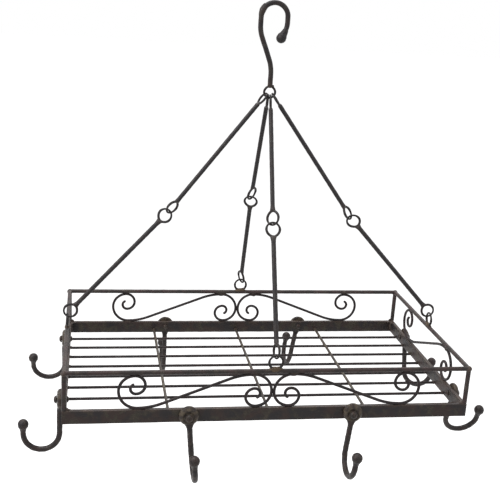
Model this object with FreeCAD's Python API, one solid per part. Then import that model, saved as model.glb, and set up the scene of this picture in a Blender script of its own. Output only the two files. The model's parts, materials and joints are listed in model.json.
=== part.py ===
"""Wrought iron pot rack that hangs from one ceiling hook by four two-rod chains.

Frame: origin at the seat under the crook of the ceiling hook, +Z up, +X to the
right along the long side of the tray, +Y to the back.  Millimetres.
"""
import FreeCAD, Part
import os
from math import asin, cos, degrees, radians, sin, sqrt

Vec = FreeCAD.Vector
X, Y, Z = Vec(1, 0, 0), Vec(0, 1, 0), Vec(0, 0, 1)

# ---- tray
TRAY_LENGTH = 606.0          # outside, along X
TRAY_WIDTH = 354.0           # outside, along Y
DROP = 506.5                 # from the seat in the crook down to the top of the rails
RAIL = 6.35                  # round top rail
POST = 6.15                  # round corner post
SCROLL_GAP = 54.15           # from the rails' underside to the bars' top edge
BAR_HEIGHT = 20.0
BAR_THICKNESS = 6.0
WIRE = 4.0                   # floor wires
LONG_WIRES = 8
CROSS_WIRES = 3
WIRE_RISE = 1.2              # long wires' centre lines above the bars' bottom edge
# ---- scrolls
SCROLL_WIRE = 4.0
SCROLL_HALF = 110.9          # half length of one scroll's centre line
FIRST_QUARTER = 0.54         # spiral's first radius as a share of the scroll's height
LATER_QUARTERS = (0.295, 0.262, 0.16)        # the same, after the two first quarters
SPIRAL_LAST = (0.135, 80.0)  # share and degrees of the last, partial turn
DIAGONAL_SLOPE = 21.0
# ---- rings and rods of the chains
ROD = 6.35
RING_WIRE = 3.2
RING = 10.2                  # centre-line radii
TOP_RING = 9.4
HOOK_RING = 8.5
RING_PLAY = 0.3              # air between two linked rings
HOOK_RING_DROP = 128.0       # from the seat down to the hook ring's centre
SIDE_RING_TURN = 64.0        # where the side chains sit round the hook ring, from its foot
MIDDLE_GAP = 0.8             # air between the front and back chains' top rings
BACK_RING_SHIFT = 4.5        # the back tray ring stands this far right of the middle
# per chain: inward sag of the middle link, share of the upper rod, and how far
# each ring is turned about its rod (upper top, upper foot, lower top, lower foot)
CHAINS = {
    "front": (4.0, 0.4945, (9.8, -42, 0, -12)),
    "back": (0.5, 0.500, (9.4, 45, 15, -20)),
    "left": (10.5, 0.512, (-6.5, 48, 25, 0)),
    "right": (13.6, 0.517, (8.8, 35, 20, 0)),
}
OUTWARD = {"front": -Y, "back": Y, "left": -X, "right": X}
# ---- ceiling hook
HOOK_ROD = 8.0
CROOK = 20.2                 # centre-line radius
FOOT_STRAIGHT = 18.9
LEAN = 21.8                  # degrees off vertical
LEAN_IN_RADIUS, LEAN_OUT_RADIUS = 60.0, 50.0
CROOK_DROP = 7.0             # straight below the crook on the open side
TIP_RADIUS, TIP_TURN = 35.0, 28.0
TIP_STRAIGHT = 8.2
HOOK_BALL = 15.5
HOOK_NECK = 14.0             # from the ball's centre back to where the taper starts
SCARF = 9.6                  # forge weld swelling on the crook
SCARF_TURN = 22.0            # degrees up the crook from its left side
# ---- pan hooks
PAN_ROD = 8.0
PAN_DISC, PAN_DISC_THICKNESS = 30.0, 7.0
PAN_DISC_RISE = 1.5          # disc's centre above its bore
PAN_DISC_ROUND = 2.2         # radius of the disc's outer arris
PAN_PLAY = 0.2               # air on both faces of the disc
BORE_PLAY = 0.1              # radial air round the rivet
PAN_OFFSET = 4.4             # shank's centre line out from the bar's face
PAN_NECK_TOP, PAN_NECK_FOOT = 8.0, 19.0
PAN_NECK_WIDTH = 19.0
PAN_BEND = 26.5              # centre-line radius
PAN_TIP = 15.0               # bend up to the ball's centre
PAN_BALL = 16.2
PAN_SWELL = 11.0
RIVET_SHANK = 5.0
RIVET_DOME, RIVET_DOME_RISE = 10.0, 3.7
RIVET_NUB, RIVET_NUB_RISE = 10.0, 3.3
# name: side, place from its middle as a share of the side, lean about the rivet in
# degrees, and shank from the rivet's centre to the bend
PAN_HOOKS = {
    "front_left": ("front", -0.202, 5.5, 57.0), "front_right": ("front", 0.202, -5.5, 59.5),
    "back_left": ("back", -0.213, 0.0, 71.0), "back_right": ("back", 0.195, -8.0, 60.5),
    "left_front": ("left", -0.331, 0.0, 55.0), "left_back": ("left", 0.331, 13.0, 55.0),
    "right_front": ("right", -0.331, 18.0, 54.0), "right_back": ("right", 0.331, -13.0, 62.0),
}

# ---- levels and half sizes that follow
RAIL_TOP = -DROP
RAIL_FOOT = RAIL_TOP - RAIL
BAR_TOP = RAIL_FOOT - SCROLL_GAP
BAR_FOOT = BAR_TOP - BAR_HEIGHT
HALF_LENGTH, HALF_WIDTH = TRAY_LENGTH / 2, TRAY_WIDTH / 2
RAIL_X, RAIL_Y = HALF_LENGTH - RAIL / 2, HALF_WIDTH - RAIL / 2
INNER_X, INNER_Y = HALF_LENGTH - BAR_THICKNESS, HALF_WIDTH - BAR_THICKNESS
RIVET_Z = (BAR_TOP + BAR_FOOT) / 2
HOOK_TOP = HOOK_ROD / 2
LINKED = RING_WIRE + RING_PLAY      # distance between two linked wires' centre lines


def box(x0, x1, y0, y1, z0, z1):
    return Part.makeBox(x1 - x0, y1 - y0, z1 - z0, Vec(x0, y0, z0))


def rod(start, end, diameter):
    return Part.makeCylinder(diameter / 2, (end - start).Length, start, end - start)


def turned(vector, axis, angle):
    return FreeCAD.Rotation(axis, angle).multVec(vector)


def unit(vector):
    return Vec(vector) / vector.Length


def trail(start, heading, across, moves):
    """Edges of a plane path: numbers are straights, pairs are (radius, turn).

    The path starts along heading, across is its left side, and turns count
    positive to the left.
    """
    edges, point, ahead, left = [], Vec(start), unit(heading), unit(across)
    for move in moves:
        if isinstance(move, tuple):
            radius, turn = move
            side = 1 if turn > 0 else -1
            angle = radians(abs(turn))

            def on_arc(a):
                return point + ahead * (radius * sin(a)) + left * (side * radius * (1 - cos(a)))

            edges.append(Part.Arc(point, on_arc(angle / 2), on_arc(angle)).toShape())
            point = on_arc(angle)
            ahead, left = (ahead * cos(angle) + left * (side * sin(angle)),
                           left * cos(angle) - ahead * (side * sin(angle)))
        else:
            edges.append(Part.makeLine(point, point + ahead * move))
            point = point + ahead * move
    return edges, point, ahead


def bent_rod(edges, diameter):
    """Round rod swept along tangent edges."""
    first = edges[0]
    start = first.valueAt(first.FirstParameter)
    ahead = first.tangentAt(first.FirstParameter)
    profile = Part.Wire([Part.makeCircle(diameter / 2, start, ahead)])
    return Part.Wire(edges).makePipeShell([profile], True, True)


def ball_end(centre, ahead, rod_diameter, ball, neck):
    """Forged ball with a taper from the rod that reaches it along ahead."""
    base = centre - ahead * neck
    taper = Part.makeCone(rod_diameter / 2, 0.43 * ball, neck * 0.78, base, ahead)
    return taper.fuse(Part.makeSphere(ball / 2, centre))


# ---------------------------------------------------------------- ceiling hook

def ceiling_hook():
    """S-shaped hook: foot on the ring, leaning shank, crook and ball."""
    foot = Vec(0, 0, HOOK_RING - HOOK_RING_DROP)
    lean_in = LEAN_IN_RADIUS * (1 - cos(radians(LEAN)))
    lean_out = LEAN_OUT_RADIUS * (1 - cos(radians(LEAN)))
    slant = (CROOK - lean_in - lean_out) / sin(radians(LEAN))
    climbed = (FOOT_STRAIGHT + (LEAN_IN_RADIUS + LEAN_OUT_RADIUS) * sin(radians(LEAN))
               + slant * cos(radians(LEAN)))
    crook_centre = HOOK_TOP - CROOK
    moves = [FOOT_STRAIGHT, (LEAN_IN_RADIUS, LEAN), slant, (LEAN_OUT_RADIUS, -LEAN),
             crook_centre - foot.z - climbed, (CROOK, -90), (CROOK, -90), CROOK_DROP,
             (TIP_RADIUS, -TIP_TURN), TIP_STRAIGHT]
    edges, tip, ahead = trail(foot, Z, -X, moves)
    scarf = Vec(-CROOK * cos(radians(SCARF_TURN)), 0, crook_centre + CROOK * sin(radians(SCARF_TURN)))
    body = bent_rod(edges, HOOK_ROD)
    body = body.fuse([ball_end(tip, ahead, HOOK_ROD, HOOK_BALL, HOOK_NECK),
                      Part.makeSphere(SCARF / 2, scarf)])
    return body.cut(hook_ring())


def hook_ring():
    return ring(Vec(0, 0, -HOOK_RING_DROP), Y, HOOK_RING)


def ring(centre, normal, radius):
    return Part.makeTorus(radius, RING_WIRE / 2, centre, normal)


# ---------------------------------------------------------------- chains

def pins(name):
    """Links' points of a chain: hook ring, middle, tray ring, and its hinge axis."""
    out = OUTWARD[name]
    sag, share = CHAINS[name][:2]
    tray_pin = out * (RAIL_X if out.x else RAIL_Y) + Vec(0, 0, RAIL_TOP + 2 * RING)
    ring_centre = Vec(0, 0, -HOOK_RING_DROP)
    if out.x:
        axis = Y
        reach = HOOK_RING - LINKED
        top_pin = (ring_centre + out * (reach * sin(radians(SIDE_RING_TURN)))
                   - Z * (reach * cos(radians(SIDE_RING_TURN))))
    else:
        axis = X
        aside = (RING_WIRE + MIDDLE_GAP) / 2
        plane = aside if name == "front" else -aside
        top_pin = Vec(plane, 0, ring_centre.z - sqrt(HOOK_RING ** 2 - aside ** 2))
        tray_pin.x = plane if name == "front" else BACK_RING_SHIFT
    span = tray_pin - top_pin
    span = span - axis * span.dot(axis)
    ahead = unit(span)
    inward = unit(ahead * out.dot(ahead) - out)
    middle = top_pin + span * share + inward * sag
    return top_pin, middle, tray_pin, axis


def rod_ring(pin, down, above, axis, wraps, radius, turn):
    """Ring welded to a rod and its centre; above is 1 at the rod's top, -1 at its foot.

    A ring that wraps goes round its pin; one that does not carries it in its wire.
    Its plane holds the rod's direction and is turned about the rod.
    """
    centre = pin + down * (above * (radius - LINKED if wraps else radius))
    normal = axis if wraps else unit(down.cross(axis))
    return ring(centre, turned(normal, down, turn), radius), centre


def chain(name):
    """Upper rod, upper rings, lower rod and lower rings of one chain."""
    top_pin, middle, tray_pin, axis = pins(name)
    turns = CHAINS[name][2]
    on_side = name in ("left", "right")
    down = unit(middle - top_pin)
    upper = (rod_ring(top_pin, down, 1, axis, not on_side, TOP_RING, turns[0]),
             rod_ring(middle, down, -1, axis, not on_side, RING, turns[1]))
    upper_rod = welded_rod(upper, down, TOP_RING, RING)
    down = unit(tray_pin - middle)
    lower = (rod_ring(middle, down, 1, axis, on_side, RING, turns[2]),
             rod_ring(tray_pin, down, -1, axis, True, RING, turns[3]))
    lower_rod = welded_rod(lower, down, RING, RING)
    return (upper_rod, Part.makeCompound([made for made, centre in upper]),
            lower_rod, Part.makeCompound([made for made, centre in lower]))


def welded_rod(rings, down, first_radius, last_radius):
    """Round rod between two rings, saddled onto both wires."""
    start = rings[0][1] + down * first_radius
    end = rings[1][1] - down * last_radius
    return rod(start, end, ROD).cut([rings[0][0], rings[1][0]])


def tray_ring(name):
    """Upright ring on the middle of a rail, sunk to half its wire and welded."""
    pin = pins(name)[2]
    plane = X if name in ("left", "right") else Y
    return ring(pin - Z * RING, plane, RING).cut(rail(name))


# ---------------------------------------------------------------- tray

def rail(name):
    """Round rail; the side rails are saddled onto the front and back ones."""
    z = RAIL_TOP - RAIL / 2
    if name in ("front", "back"):
        y = RAIL_Y if name == "back" else -RAIL_Y
        return rod(Vec(-HALF_LENGTH, y, z), Vec(HALF_LENGTH, y, z), RAIL)
    x = RAIL_X if name == "right" else -RAIL_X
    return rod(Vec(x, -RAIL_Y, z), Vec(x, RAIL_Y, z), RAIL).cut([rail("front"), rail("back")])


def bar(name):
    """Flat bar on edge, bored for its two rivets."""
    if name in ("front", "back"):
        y = HALF_WIDTH - BAR_THICKNESS if name == "back" else -HALF_WIDTH
        made = box(-HALF_LENGTH, HALF_LENGTH, y, y + BAR_THICKNESS, BAR_FOOT, BAR_TOP)
    else:
        x = HALF_LENGTH - BAR_THICKNESS if name == "right" else -HALF_LENGTH
        made = box(x, x + BAR_THICKNESS, -INNER_Y, INNER_Y, BAR_FOOT, BAR_TOP)
    holes = [rod(place - out * 2 * BAR_THICKNESS, place + out * BAR_THICKNESS, RIVET_SHANK)
             for place, out in (rivet_place(hook) for hook in PAN_HOOKS if PAN_HOOKS[hook][0] == name)]
    return made.cut(holes)


def corner_post(right, back):
    """Round post from a bar's top edge up under the end of the front or back rail."""
    x, y = right * (HALF_LENGTH - POST / 2), back * RAIL_Y
    post = rod(Vec(x, y, BAR_TOP), Vec(x, y, RAIL_TOP - RAIL / 2), POST)
    return post.cut([rail("back" if back > 0 else "front"), rail("right" if right > 0 else "left")])


def long_wire(number):
    """Floor wire between the side bars, front wire first."""
    y = (number / (LONG_WIRES + 1) - 0.5) * TRAY_WIDTH
    z = BAR_FOOT + WIRE_RISE
    return rod(Vec(-INNER_X, y, z), Vec(INNER_X, y, z), WIRE)


def cross_wire(number):
    """Floor wire on top of the long wires, between the front and back bars."""
    x = (number / (CROSS_WIRES + 1) - 0.5) * (TRAY_LENGTH - RAIL)
    z = BAR_FOOT + WIRE_RISE + WIRE
    return rod(Vec(x, -INNER_Y, z), Vec(x, INNER_Y, z), WIRE)


def scroll(centre, along):
    """S-scroll between bar and rail; its diagonal climbs in the direction along.

    Half the centre line, from the middle of the diagonal to the end of a spiral,
    is made of tangent arcs; the other half is the same turned by 180 degrees.
    """
    height = SCROLL_GAP - SCROLL_WIRE
    first = FIRST_QUARTER * height
    slope = radians(DIAGONAL_SLOPE)
    half_run = SCROLL_HALF - first
    # easing radius and straight that join the two touching points at this slope
    ease = ((2 * half_run * sin(slope) - height * cos(slope))
            / (2 * (sin(slope) ** 2 - cos(slope) * (1 - cos(slope)))))
    straight = (height - 2 * ease * (1 - cos(slope))) / sin(slope)
    radii = [first, height - first] + [share * height for share in LATER_QUARTERS]
    moves = [straight / 2, (ease, -DIAGONAL_SLOPE)] + [(radius, -90.0) for radius in radii]
    moves.append((SPIRAL_LAST[0] * height, -SPIRAL_LAST[1]))
    halves = []
    for side in (1, -1):
        ahead = along * (side * cos(slope)) + Z * (side * sin(slope))
        left = Z * (side * cos(slope)) - along * (side * sin(slope))
        halves.append(trail(centre, ahead, left, moves)[0])
    first_half = [reversed_edge(edge) for edge in reversed(halves[1])]
    return bent_rod(first_half + halves[0], SCROLL_WIRE)


def reversed_edge(edge):
    a, b = edge.FirstParameter, edge.LastParameter
    if isinstance(edge.Curve, Part.Line):
        return Part.makeLine(edge.valueAt(b), edge.valueAt(a))
    return Part.Arc(edge.valueAt(b), edge.valueAt((a + b) / 2), edge.valueAt(a)).toShape()


def scrolls():
    z = (RAIL_FOOT + BAR_TOP) / 2
    beside = SCROLL_HALF + SCROLL_WIRE / 2
    made = {}
    for name in ("front", "back"):
        for side, where in ((-1, "left"), (1, "right")):
            centre = OUTWARD[name] * RAIL_Y + Vec(side * beside, 0, z)
            made["scroll_%s_%s" % (name, where)] = scroll(centre, -X * side)
    for name in ("left", "right"):
        made["scroll_" + name] = scroll(OUTWARD[name] * RAIL_X + Z * z, -Y)
    return made


# ---------------------------------------------------------------- pan hooks

def rivet_place(name):
    """Point on the bar's outer face at the rivet's axis, and the outward direction."""
    side, share = PAN_HOOKS[name][:2]
    out = OUTWARD[side]
    if out.y:
        return Vec(share * TRAY_LENGTH, out.y * HALF_WIDTH, RIVET_Z), out
    return Vec(out.x * HALF_LENGTH, share * TRAY_WIDTH, RIVET_Z), out


def pan_hook(name):
    """Forged J: thick round eye on the rivet, shank, bend and ball."""
    place, out = rivet_place(name)
    _, _, lean, shank = PAN_HOOKS[name]
    aside = Z.cross(out)
    disc_in = place + out * PAN_PLAY + Z * PAN_DISC_RISE
    disc = rod(disc_in, disc_in + out * PAN_DISC_THICKNESS, PAN_DISC)
    outer_edge = [edge for edge in disc.Edges if edge.Closed
                  and (edge.CenterOfMass - disc_in).dot(out) > PAN_DISC_THICKNESS / 2]
    disc = disc.makeFillet(PAN_DISC_ROUND, outer_edge)
    axis = place + out * PAN_OFFSET
    flat = Part.Ellipse(Vec(0, 0, 0), PAN_NECK_WIDTH / 2, PAN_DISC_THICKNESS / 2 - PAN_PLAY).toShape()
    flat.Placement = FreeCAD.Placement(place + out * (PAN_PLAY + PAN_DISC_THICKNESS / 2)
                                       - Z * PAN_NECK_TOP, FreeCAD.Rotation(aside, out, Z))
    neck_foot = axis - Z * PAN_NECK_FOOT
    round_end = Part.makeCircle(PAN_ROD / 2)
    round_end.Placement = FreeCAD.Placement(neck_foot, FreeCAD.Rotation(aside, out, Z))
    neck = Part.makeLoft([Part.Wire([flat]), Part.Wire([round_end])], True)
    edges, tip, ahead = trail(neck_foot, -Z, out,
                              [shank - PAN_NECK_FOOT, (PAN_BEND, 90.0), (PAN_BEND, 90.0), PAN_TIP])
    made = disc.fuse([neck, bent_rod(edges, PAN_ROD),
                      ball_end(tip, ahead, PAN_ROD, PAN_BALL, PAN_SWELL)])
    bore = RIVET_SHANK + 2 * BORE_PLAY
    made = made.cut(rod(place - out * BAR_THICKNESS, place + out * 2 * PAN_BALL, bore))
    made.rotate(place, Y if out.y else X, -lean if out.y else lean)
    return made


def dome(base, ahead, diameter, rise):
    """Cap of a sphere standing on its flat base, its pole at the crown."""
    radius = (diameter ** 2 / 4 + rise ** 2) / (2 * rise)
    centre = base - ahead * (radius - rise)
    return Part.makeSphere(radius, centre, ahead, degrees(asin(1 - rise / radius)), 90, 360)


def rivet(name):
    """Shank through disc and bar, dome outside and hammered nub inside."""
    place, out = rivet_place(name)
    inner = place - out * BAR_THICKNESS
    outer = place + out * (PAN_DISC_THICKNESS + 2 * PAN_PLAY)
    return rod(inner, outer, RIVET_SHANK).fuse([
        dome(outer, out, RIVET_DOME, RIVET_DOME_RISE), dome(inner, -out, RIVET_NUB, RIVET_NUB_RISE)])


# ---------------------------------------------------------------- everything

def build():
    nodes = {"ceiling_hook": ceiling_hook(), "hook_ring": hook_ring()}
    for name in CHAINS:
        kinds = ("upper_rod", "upper_rings", "lower_rod", "lower_rings")
        nodes.update({"%s_%s" % (kind, name): shape for kind, shape in zip(kinds, chain(name))})
        nodes["tray_ring_" + name] = tray_ring(name)
        nodes["rail_" + name] = rail(name)
        nodes["bar_" + name] = bar(name)
    for back, end in ((-1, "front"), (1, "back")):
        for right, side in ((-1, "left"), (1, "right")):
            nodes["corner_post_%s_%s" % (end, side)] = corner_post(right, back)
    nodes.update({"long_wire_%d" % n: long_wire(n) for n in range(1, LONG_WIRES + 1)})
    nodes.update({"cross_wire_%d" % n: cross_wire(n) for n in range(1, CROSS_WIRES + 1)})
    nodes.update(scrolls())
    nodes.update({"pan_hook_" + name: pan_hook(name) for name in PAN_HOOKS})
    nodes["hook_rivets"] = Part.makeCompound([rivet(name) for name in PAN_HOOKS])
    return nodes


os.makedirs("parts", exist_ok=True)
for node, shape in build().items():
    shape.exportStep("parts/%s.step" % node)
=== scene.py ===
"""Wrought iron pot rack that hangs from the ceiling by one S-shaped hook.

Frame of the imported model: origin at the seat under the crook of the ceiling hook, +Z up,
+X to the right along the tray's long side, +Y to the back.  Lengths are in millimetres
and turn into metres when a mesh is made.
"""
import json
from math import cos, pi, radians, sin, sqrt

import bpy
import numpy as np
from mathutils import Matrix, Vector


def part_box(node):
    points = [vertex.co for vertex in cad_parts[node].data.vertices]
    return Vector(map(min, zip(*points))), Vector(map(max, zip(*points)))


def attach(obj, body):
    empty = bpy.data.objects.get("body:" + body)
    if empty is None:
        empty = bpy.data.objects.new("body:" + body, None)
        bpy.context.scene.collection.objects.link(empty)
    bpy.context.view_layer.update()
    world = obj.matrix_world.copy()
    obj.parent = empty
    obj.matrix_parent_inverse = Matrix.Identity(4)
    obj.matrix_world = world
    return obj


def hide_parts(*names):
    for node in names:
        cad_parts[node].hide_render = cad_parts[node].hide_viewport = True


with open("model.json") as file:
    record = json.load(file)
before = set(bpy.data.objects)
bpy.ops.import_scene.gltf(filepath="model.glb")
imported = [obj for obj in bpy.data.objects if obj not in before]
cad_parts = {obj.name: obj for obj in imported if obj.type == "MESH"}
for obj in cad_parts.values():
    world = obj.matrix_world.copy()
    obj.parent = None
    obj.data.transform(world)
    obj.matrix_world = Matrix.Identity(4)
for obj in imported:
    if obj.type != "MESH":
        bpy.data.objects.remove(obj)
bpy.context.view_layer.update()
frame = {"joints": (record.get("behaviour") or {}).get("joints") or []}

MM = 0.001


# ---------------------------------------------------------------- camera
# Eye level with the hook's crook, 1.37 m off and a little to the left of the middle, with
# the rack seen from above its rails.  The view leans slightly, as from a camera in the hand.
EYE = (-0.2671, -1.3425, 0.0208)
EYE_TURN, EYE_DIP, EYE_ROLL = 10.02, 15.85, 3.5      # degrees
LENS, SENSOR = 64.27, 36.0                           # millimetres
SHIFT_X, SHIFT_Y = 0.018, -0.003
camera = bpy.data.objects.new("camera", bpy.data.cameras.new("camera"))
bpy.context.scene.collection.objects.link(camera)
camera.matrix_world = (Matrix.Translation(EYE) @ Matrix.Rotation(radians(-EYE_TURN), 4, "Z")
                       @ Matrix.Rotation(radians(90 - EYE_DIP), 4, "X")
                       @ Matrix.Rotation(radians(EYE_ROLL), 4, "Z"))
camera.data.lens, camera.data.sensor_width = LENS, SENSOR
camera.data.shift_x, camera.data.shift_y = SHIFT_X, SHIFT_Y
bpy.context.scene.camera = camera


# ---------------------------------------------------------------- studio
# The rack hangs as high as a ceiling rack does over a plain pale floor, in a white studio.
# The biggest soft lamp is overhead, one stands high on the left, and two weaker ones fill
# in from the right and from behind.
FLOOR_Z = -1.9
FLOOR_HALF = 30.0
FLOOR_GLOW = 0.8
AIR_STRENGTH = 0.3
LAMPS = {                    # place, aim, side in metres, power in watts
    "overhead": ((-0.5, 0.1, 1.7), (0, 0, -0.5), 1.8, 46.0),
    "high_left": ((-1.8, -0.9, 0.9), (0, 0, -0.45), 1.3, 34.0),
    "right": ((1.9, -1.0, 0.5), (0, 0, -0.4), 1.2, 11.0),
    "behind": ((0.6, 2.2, 1.3), (0, 0, -0.4), 1.4, 16.0),
}


def srgb(code):
    """Linear colour with full alpha from a hex code: c / 12.92 up to c = 0.04045, and
    ((c + 0.055) / 1.055)^2.4 above."""
    parts = np.array([int(code[i:i + 2], 16) for i in (1, 3, 5)]) / 255
    linear = np.where(parts <= 0.04045, parts / 12.92, ((parts + 0.055) / 1.055) ** 2.4)
    return (*linear.tolist(), 1.0)


def add(tree, kind, inputs=None, **settings):
    """One new node: properties from settings, sockets from inputs, a value or a link each."""
    made = tree.nodes.new(kind)
    for key, value in settings.items():
        setattr(made, key, value)
    for key, value in (inputs or {}).items():
        if isinstance(value, bpy.types.NodeSocket):
            tree.links.new(value, made.inputs[key])
        else:
            made.inputs[key].default_value = value
    return made


def seen_directly(tree):
    """1 for what the eye, a reflection or a look through glass meets, 0 for light on the object."""
    ray = add(tree, "ShaderNodeLightPath")
    shiny = add(tree, "ShaderNodeMath", {0: ray.outputs["Is Camera Ray"],
                                         1: ray.outputs["Is Glossy Ray"]}, operation="ADD")
    return add(tree, "ShaderNodeMath", {0: shiny.outputs[0], 1: ray.outputs["Is Transmission Ray"]},
               operation="ADD", use_clamp=True).outputs[0]


world = bpy.data.worlds.new("white_studio")
bpy.context.scene.world = world
world.use_nodes = True
tree = world.node_tree
tree.nodes.clear()
around = add(tree, "ShaderNodeBackground", {"Color": srgb("#F4F5F8"), "Strength": AIR_STRENGTH})
white = add(tree, "ShaderNodeBackground", {"Color": (1, 1, 1, 1), "Strength": 1.0})
mixed = add(tree, "ShaderNodeMixShader", {0: seen_directly(tree), 1: around.outputs[0],
                                          2: white.outputs[0]})
add(tree, "ShaderNodeOutputWorld", {"Surface": mixed.outputs[0]})

# pale matt floor: it takes the rack's shadow, and its own glow brings the lit part to white
floor_paint = bpy.data.materials.new("pale_matt_floor_paint")
floor_paint.use_nodes = True
tree = floor_paint.node_tree
tree.nodes.clear()
matt = add(tree, "ShaderNodeBsdfDiffuse", {"Color": srgb("#F2F1EF")})
glow = add(tree, "ShaderNodeEmission", {"Color": (1, 1, 1, 1), "Strength": FLOOR_GLOW})
dark = add(tree, "ShaderNodeEmission", {"Color": (0, 0, 0, 1), "Strength": 0.0})
shown = add(tree, "ShaderNodeMixShader", {0: seen_directly(tree), 1: dark.outputs[0],
                                          2: glow.outputs[0]})
both = add(tree, "ShaderNodeAddShader", {0: matt.outputs[0], 1: shown.outputs[0]})
add(tree, "ShaderNodeOutputMaterial", {"Surface": both.outputs[0]})

mesh = bpy.data.meshes.new("floor")
mesh.from_pydata([(x * FLOOR_HALF, y * FLOOR_HALF, FLOOR_Z)
                  for x, y in ((-1, -1), (1, -1), (1, 1), (-1, 1))], [], [(0, 1, 2, 3)])
floor = bpy.data.objects.new("floor", mesh)
bpy.context.scene.collection.objects.link(floor)
mesh.materials.append(floor_paint)

for name, (place, aim, side, power) in LAMPS.items():
    data = bpy.data.lights.new("lamp_" + name, "AREA")
    data.shape, data.size, data.energy = "SQUARE", side, power
    lamp = bpy.data.objects.new("lamp_" + name, data)
    bpy.context.scene.collection.objects.link(lamp)
    look = (Vector(aim) - Vector(place)).to_track_quat("-Z", "Y")
    lamp.matrix_world = Matrix.Translation(place) @ look.to_matrix().to_4x4()

bpy.context.scene.view_settings.view_transform = "Standard"


# ---------------------------------------------------------------- ceiling hook
# Two lengths of 8 mm round mild steel, shank and crook, lapped and forge welded on the left
# of the crook, which leaves a swelling.  The shank is bent into a slack S, the crook's tip
# is upset into a ball, and the foot is welded to the hook ring.
HOOK_ROD = 8.0
CROOK, CROOK_LEVEL = 20.2, 4.0            # centre-line radius and top of the centre line
HOOK_FOOT, HOOK_FOOT_RUN = -119.5, 18.9   # foot of the shank, and its straight before the S
HOOK_LEAN = 21.8                          # degrees off plumb between the S's two bends
HOOK_BEND_LOW, HOOK_BEND_HIGH = 60, 50    # radii of those bends
HOOK_TIP_RUN, HOOK_TIP_BEND, HOOK_TIP_TURN, HOOK_TIP_END = 7.0, 35, 28, 8.2
HOOK_BALL, HOOK_NECK = 15.5, 14.0         # ball's diameter, and length of the taper to it
HOOK_WAVE, HOOK_DENT = 12.0, 0.2          # spacing and depth of its hammer marks
LAP_TURN, LAP_LENGTH, LAP_SWELL = 24.0, 6.0, 0.9    # swelling: place in degrees, length, rise
LAP_FROM, LAP_ARC = radians(4.0), 48.0              # the lapped end's start and reach
LAP_OUT, LAP_HALF, LAP_SCARF, LAP_BLUNT = 1.8, 3.4, 7.0, 1.6
LAP_WAVE, LAP_DENT = 5.0, 0.3
LAP_HEAP, FOOT_HEAP = (7.0, 3.8, 3.6), (4.9, 2.8, 2.7)
IRON_SKIN, IRON_BROWN, IRON_OLIVE = "#232123", "#2D2524", "#2E2C28"
# the weld colour also paints the light along the flat bars' tops
IRON_WORN, IRON_WELD_AND_TOP_LIGHT = "#4A4140", "#483D37"
X, Y, Z = np.eye(3)


def unit(vector):
    vector = np.asarray(vector, float)
    return vector / np.linalg.norm(vector, axis=-1, keepdims=True)


def trail(start, ahead, left, moves):
    """Points along a plane path.  A number is a straight of that length, a pair is an arc of
    (radius, degrees), positive to the left: p = start + ahead r sin a + left r (1 - cos a)."""
    point, ahead, left = np.array(start, float), unit(ahead), unit(left)
    runs = [point[None]]
    for move in moves:
        if isinstance(move, tuple):
            radius, turn = move
            side, angle = np.sign(turn), radians(abs(turn))
            a = np.linspace(0, angle, int(radius * angle / 0.4) + 3)[1:, None]
            runs.append(point + ahead * radius * np.sin(a) + left * side * radius * (1 - np.cos(a)))
            ahead, left = (ahead * cos(angle) + left * side * sin(angle),
                           left * cos(angle) - ahead * side * sin(angle))
        else:
            runs.append(point + ahead * np.linspace(0, move, int(move / 0.4) + 3)[1:, None])
        point = runs[-1][-1]
    return np.concatenate(runs)


def paced(line, step, edge=0.0):
    """The line's points a step apart, with four more in each end's last edge, and how far
    along the line each one is."""
    run = np.r_[0, np.cumsum(np.linalg.norm(np.diff(line, axis=0), axis=1))]
    pace = np.linspace(0, run[-1], int(run[-1] / step) + 2)
    if edge:
        close = edge * (1 - np.cos(np.linspace(0, pi / 2, 5)))
        inner = pace[(pace > 1.3 * edge) & (pace < run[-1] - 1.3 * edge)]
        pace = np.r_[close, inner, run[-1] - close[::-1]]
    return np.stack([np.interp(pace, run, axis) for axis in line.T], 1), pace


def eased(pace, edge):
    """How much a section shrinks at a rounded end: edge - sqrt(edge^2 - (edge - d)^2), d away
    from the end."""
    from_end = np.minimum(pace, pace[-1] - pace)
    return edge - np.sqrt(edge ** 2 - np.clip(edge - from_end, 0, edge) ** 2)


def oval(half_u, half_v, sides=20):
    """Ellipse (u cos a, v sin a); half sizes may change along the path."""
    a = np.arange(sides) * 2 * pi / sides
    return np.stack([np.multiply.outer(half_u, np.cos(a)),
                     np.multiply.outer(half_v, np.sin(a))], -1)


def carry(line, normal, outline, closed=False):
    """Profile carried along a path: line[i] + u side + v (ahead x side), where side is the
    normal made square to the path."""
    ahead = unit(np.roll(line, -1, 0) - np.roll(line, 1, 0) if closed
                 else np.gradient(line, axis=0))
    side = np.broadcast_to(np.asarray(normal, float), line.shape)
    side = unit(side - ahead * (side * ahead).sum(-1, keepdims=True))
    outline = np.broadcast_to(outline, (len(line),) + np.shape(outline)[-2:])
    return (line[:, None] + side[:, None] * outline[..., :1]
            + np.cross(ahead, side)[:, None] * outline[..., 1:])


def ripple(points, spacing, seed):
    """Smooth uneven height from 0 to 1: nine plane waves about a spacing long, in random
    directions from a fixed seed, added up and squeezed by tanh."""
    rng = np.random.default_rng(seed)
    waves = unit(rng.normal(size=(9, 3))) * (2 * pi / spacing) * rng.uniform(0.6, 1.5, (9, 1))
    return 0.5 + 0.5 * np.tanh(np.sin(points @ waves.T + rng.uniform(0, 2 * pi, 9)).sum(-1) / 2)


def worked(grid, line, spacing, depth, seed, proud=0.0):
    """Marks of hammer and file: each point moves in towards the path by depth (ripple - proud),
    so that a part with more proud stands a little fuller."""
    inward = line[:, None] - grid
    length = np.maximum(np.linalg.norm(inward, axis=-1, keepdims=True), 1e-6)
    return grid + inward / length * (depth * (ripple(grid, spacing, seed) - proud))[..., None]


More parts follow.
